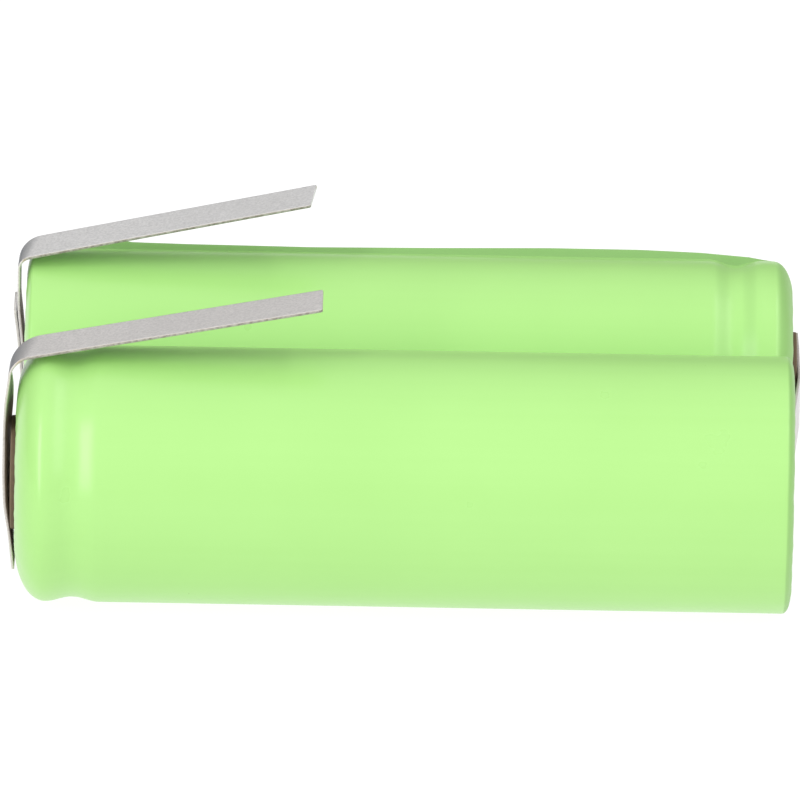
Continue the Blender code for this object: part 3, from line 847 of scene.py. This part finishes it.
def film_material():
    """Green heat-shrink film: smooth and softly glossy, with faint flow lines and a little dust."""
    nodes = Nodes("green_film")
    broad = nodes.noise(90.0, 3.0)
    tone = nodes.ramp(broad, [(0.3, FILM_TONES[0]), (0.7, FILM_TONES[1])])
    lines = nodes.noise(1.0, 2.0, place=nodes.scaled_place((25.0, 1500.0, 1500.0)))
    streaked = nodes.mix(nodes.spread(lines, 0.0, 0.12, 0.35, 0.65), tone, FILM_FLOW_LINE)
    # painted shade: the film's green darkened along the crease and over the shaded ends
    folded = nodes.mix(nodes.shade(), streaked, FILM_PAINTED_SHADE)
    dusty = nodes.mix(nodes.specks(420.0, 0.030, 0.10), folded, FILM_DUST)
    nodes.join(dusty, nodes.shader.inputs["Base Color"])
    smear = nodes.noise(260.0, 4.0)
    matt = nodes.spread(nodes.shade(), 0.0, 0.35)
    rough = nodes.add("ShaderNodeMath", operation="ADD")
    nodes.join(nodes.spread(smear, 0.24, 0.36), rough.inputs[0])
    nodes.join(matt, rough.inputs[1])
    nodes.join(rough.outputs["Value"], nodes.shader.inputs["Roughness"])
    peel = nodes.bump(nodes.noise(900.0, 3.0), 0.000006)
    nodes.join(nodes.bump(lines, 0.000004, below=peel), nodes.shader.inputs["Normal"])
    nodes.set(IOR=1.53, Specular_IOR_Level=0.5)
    return nodes.material


def nickel_material(name, tone, seed):
    """Rolled nickel strip: matt, finely speckled, with rolling grain and a few dark pits.

    Where the mesh's shade is a half the strip is painted brown as a reflection of the fibre washer, where it
    is 1 it is a slit edge, and where it is below 0, round the bend, it is painted darker as shade.
    """
    nodes = Nodes(name)
    shift = nodes.add("ShaderNodeVectorMath", operation="ADD")
    shift.inputs[1].default_value = (seed, seed, seed)
    nodes.join(nodes.place, shift.inputs[0])
    nodes.place = shift.outputs["Vector"]
    grain = nodes.noise(1.0, 4.0, 0.6, nodes.scaled_place((700.0, 5200.0, 700.0)))
    speckle = nodes.noise(6500.0, 2.0, 0.7)
    dark = tuple(0.80 * value for value in tone)
    light = tuple(1.10 * value for value in tone)
    colour = nodes.ramp(speckle, [(0.30, dark), (0.72, light)])
    grained = nodes.mix(nodes.spread(grain, 0.0, 0.35, 0.3, 0.7), colour, tone)
    clouds = nodes.noise(160.0, 3.0)
    cloudy = nodes.mix(nodes.spread(clouds, 0.0, 0.25, 0.35, 0.7), grained, dark)
    pitted = nodes.mix(nodes.specks(600.0, 0.06, 0.07), cloudy, NICKEL_PIT)
    shade = nodes.shade()
    # painted shade: a dark band across the bend
    bent = nodes.mix(nodes.spread(shade, 1.0, 0.0, -1.0, 0.0), pitted, NICKEL_BEND_SHADE)
    # painted reflection of the brown washer on the weld leg's inner face, made light as if lit
    stains_and_reflection = nodes.mix(nodes.spread(shade, 0.0, 1.0, 0.0, 0.5), bent, NICKEL_WASHER_REFLECTION)
    slit = nodes.ramp(nodes.noise(4500.0, 2.0), [(0.35, SLIT_EDGE_TONES[0]), (0.65, SLIT_EDGE_TONES[1])])
    edged = nodes.mix(nodes.spread(shade, 0.0, 1.0, 0.5, 1.0), stains_and_reflection, slit)
    nodes.join(edged, nodes.shader.inputs["Base Color"])
    nodes.join(nodes.spread(shade, METAL_SHARE, 0.1, 0.0, 0.5), nodes.shader.inputs["Metallic"])
    nodes.join(nodes.spread(speckle, 0.42, 0.6), nodes.shader.inputs["Roughness"])
    fine = nodes.bump(speckle, 0.000012, 0.8)
    nodes.join(nodes.bump(grain, 0.000008, below=fine), nodes.shader.inputs["Normal"])
    return nodes.material


def steel_material(name, tone, rough):
    """Drawn and plated steel with faint circular tool marks."""
    nodes = Nodes(name)
    cloud = nodes.noise(300.0, 4.0)
    dark = tuple(0.82 * value for value in tone)
    colour = nodes.ramp(cloud, [(0.3, dark), (0.7, tone)])
    stains_and_reflection = nodes.mix(nodes.specks(700.0, 0.05, 0.08), colour, STEEL_STAIN)
    nodes.join(stains_and_reflection, nodes.shader.inputs["Base Color"])
    nodes.join(nodes.spread(cloud, rough * 0.8, rough * 1.3), nodes.shader.inputs["Roughness"])
    marks = nodes.noise(1.0, 3.0, 0.6, nodes.scaled_place((900.0, 3000.0, 3000.0)))
    nodes.join(nodes.bump(marks, 0.000006), nodes.shader.inputs["Normal"])
    nodes.set(Metallic=1.0)
    return nodes.material


def fibre_material():
    """Brown vulcanised fibre: felted paper with short dark and light fibres, with a painted highlight on the
    collar's top edge.
    """
    nodes = Nodes("brown_fibre")
    felt = nodes.noise(1.0, 5.0, 0.7, nodes.scaled_place((2500.0, 900.0, 3800.0)))
    colour = nodes.ramp(felt, [(0.30, FIBRE_TONES[0]), (0.72, FIBRE_TONES[1])])
    # painted highlight on the collar's top edge
    edge_lit = nodes.mix(nodes.shade(), colour, FIBRE_EDGE_HIGHLIGHT)
    nodes.join(edge_lit, nodes.shader.inputs["Base Color"])
    nodes.join(nodes.spread(felt, 0.65, 0.85), nodes.shader.inputs["Roughness"])
    nodes.join(nodes.bump(felt, 0.00002), nodes.shader.inputs["Normal"])
    return nodes.material


def plain_material(name, dark, light, scale, rough, depth, metallic=0.0):
    """A moulded, woven or pressed inner part: two close tones in a fine grain."""
    nodes = Nodes(name)
    grain = nodes.noise(scale, 5.0, 0.6)
    nodes.join(nodes.ramp(grain, [(0.3, dark), (0.7, light)]), nodes.shader.inputs["Base Color"])
    nodes.join(nodes.spread(grain, rough - 0.08, rough + 0.08), nodes.shader.inputs["Roughness"])
    nodes.join(nodes.bump(grain, depth), nodes.shader.inputs["Normal"])
    nodes.set(Metallic=metallic)
    return nodes.material


def dress_inner_parts(steel, nickel):
    """The sealed parts keep their CAD shapes and get the materials of what they are made of."""
    nylon = plain_material("natural_nylon", (0.70, 0.67, 0.60), (0.80, 0.78, 0.71), 900.0, 0.45, 0.000005)
    rubber = plain_material("moulded_rubber", (0.012, 0.012, 0.012), (0.03, 0.03, 0.03), 2500.0, 0.8, 0.00001)
    hydroxide = plain_material("nickel_hydroxide_paste", (0.02, 0.025, 0.02), (0.07, 0.085, 0.07), 5000.0,
                               0.9, 0.00003)
    alloy = plain_material("hydrogen_alloy_paste", (0.06, 0.06, 0.065), (0.16, 0.16, 0.17), 5000.0, 0.75,
                           0.00002, 0.4)
    fleece = plain_material("separator_fleece", (0.62, 0.62, 0.60), (0.88, 0.88, 0.86), 3500.0, 0.92, 0.00003)
    wanted = {
        "lid": steel, "vent_plate": steel, "collector_disc": nickel,
        "positive_lead": nickel, "gasket": nylon, "top_insulator": nylon, "bottom_insulator": nylon,
        "vent_seal": rubber, "positive_electrode": hydroxide, "negative_electrode": alloy,
        "inner_separator": fleece, "outer_separator": fleece,
    }
    for cell in ("front", "rear"):
        for part, material in wanted.items():
            node = frame["nodes"][f"{cell}_{part}"]
            node.data.materials.clear()
            node.data.materials.append(material)


# ---------------------------------------------------------------- stage


def make_floor():
    """A pale table that glows a little, as a light table does, so that no hard shadow falls on it."""
    shape = bmesh.new()
    bmesh.ops.create_grid(shape, x_segments=2, y_segments=2, size=TABLE_HALF)
    mesh = bpy.data.meshes.new("floor")
    shape.to_mesh(mesh)
    shape.free()
    floor = bpy.data.objects.new("floor", mesh)
    bpy.context.scene.collection.objects.link(floor)
    nodes = Nodes("pale_table")
    nodes.set(Base_Color=(0.15, 0.15, 0.15, 1.0), Roughness=0.8, Specular_IOR_Level=0.1)
    nodes.set(Emission_Color=(1.0, 1.0, 1.0, 1.0), Emission_Strength=TABLE_GLOW)
    mesh.materials.append(nodes.material)


def toward(azimuth, elevation):
    """A unit direction from the pack. Azimuth 0 is the camera's side and 90 is +X."""
    a, e = math.radians(azimuth), math.radians(elevation)
    return Vector((math.sin(a) * math.cos(e), -math.cos(a) * math.cos(e), math.sin(e)))


def add_softbox(name, box):
    """A long soft light between two directions, each an azimuth and an elevation, that faces the pack."""
    low = toward(*box["from"]) * BOX_DISTANCE
    high = toward(*box["to"]) * BOX_DISTANCE
    away = (low + high).normalized()
    length = (high - low).normalized()
    side = length.cross(away).normalized()
    light = bpy.data.lights.new(name, "AREA")
    light.shape = "RECTANGLE"
    light.size = box["width"]
    light.size_y = (high - low).length
    light.energy = box["radiance"] * math.pi * light.size * light.size_y
    lamp = bpy.data.objects.new(name, light)
    turn = Matrix((side, length, away)).transposed().to_4x4()
    lamp.matrix_world = Matrix.Translation((low + high) / 2) @ turn
    bpy.context.scene.collection.objects.link(lamp)


def make_lights():
    """A dim room that is pale over the camera's side, a softbox on either side and one overhead."""
    world = bpy.data.worlds.new("studio")
    world.use_nodes = True
    tree = world.node_tree
    background = tree.nodes["Background"]
    direction = tree.nodes.new("ShaderNodeTexCoord").outputs["Generated"]
    facing = tree.nodes.new("ShaderNodeVectorMath")
    facing.operation = "DOT_PRODUCT"
    facing.inputs[1].default_value = (0.0, -math.cos(ROOM_HEIGHT), math.sin(ROOM_HEIGHT))
    spread = tree.nodes.new("ShaderNodeMapRange")
    spread.interpolation_type = "SMOOTHSTEP"
    limits = {"From Min": -0.2, "From Max": 0.9, "To Min": ROOM_DARK, "To Max": ROOM_BRIGHT}
    for key, number in limits.items():
        spread.inputs[key].default_value = number
    tree.links.new(direction, facing.inputs[0])
    tree.links.new(facing.outputs["Value"], spread.inputs["Value"])
    tree.links.new(spread.outputs["Result"], background.inputs["Strength"])
    background.inputs["Color"].default_value = (1.0, 1.0, 1.0, 1.0)
    bpy.context.scene.world = world
    for name, box in SOFTBOXES.items():
        add_softbox(name, box)


def make_camera():
    """The camera looks a little down on the pack from a distance, square to the cells and hardly rolled."""
    back = Vector((0.0, -math.cos(CAMERA_HEIGHT), math.sin(CAMERA_HEIGHT)))
    up = Vector((0.0, math.sin(CAMERA_HEIGHT), math.cos(CAMERA_HEIGHT)))
    right = Vector((1.0, 0.0, 0.0))
    right_rolled = right * math.cos(CAMERA_ROLL) + up * math.sin(CAMERA_ROLL)
    up_rolled = up * math.cos(CAMERA_ROLL) - right * math.sin(CAMERA_ROLL)
    data = bpy.data.cameras.new("camera")
    data.sensor_width = SENSOR_W
    data.lens = SENSOR_W * CAMERA_DISTANCE / CAMERA_FIELD
    data.clip_start = 0.05
    data.clip_end = 20.0
    camera = bpy.data.objects.new("camera", data)
    turn = Matrix((right_rolled, up_rolled, back)).transposed().to_4x4()
    camera.matrix_world = Matrix.Translation(LOOK_AT + back * CAMERA_DISTANCE) @ turn
    bpy.context.scene.collection.objects.link(camera)
    bpy.context.scene.camera = camera


def main():
    bpy.context.scene.view_settings.view_transform = "Standard"
    front = cell_of("front", -1, FRONT_SHAPE)
    rear = cell_of("rear", 1, REAR_SHAPE)
    film = film_material()
    nickel = nickel_material("rolled_nickel", NICKEL, 0.0)
    pale_nickel = nickel_material("pale_rolled_nickel", PALE_NICKEL, 3.0)
    steel = steel_material("plated_can_steel", CAN_STEEL, 0.32)
    bright = steel_material("bright_cap_steel", CAP_STEEL, 0.22)
    fibre = fibre_material()
    creases = [(CREASE_ANGLE, 1.0), (CREASE_ANGLE + math.pi, HIDDEN_CREASE_SHARE)]
    make_sleeve(front, film, [], 1.0)
    make_sleeve(rear, film, creases, 2.0)
    for cell in (front, rear):
        make_can(cell, steel)
        make_cap(cell, bright)
        make_washer(cell, fibre)
        make_vent_spring(cell, steel)
    make_tag(front, FRONT_TAG, nickel, 1.0)
    make_tag(rear, REAR_TAG, pale_nickel, 2.0)
    make_backing_strip(rear, pale_nickel)
    make_bridge(front, rear, nickel)
    dress_inner_parts(steel, nickel)
    make_floor()
    make_lights()
    make_camera()


main()
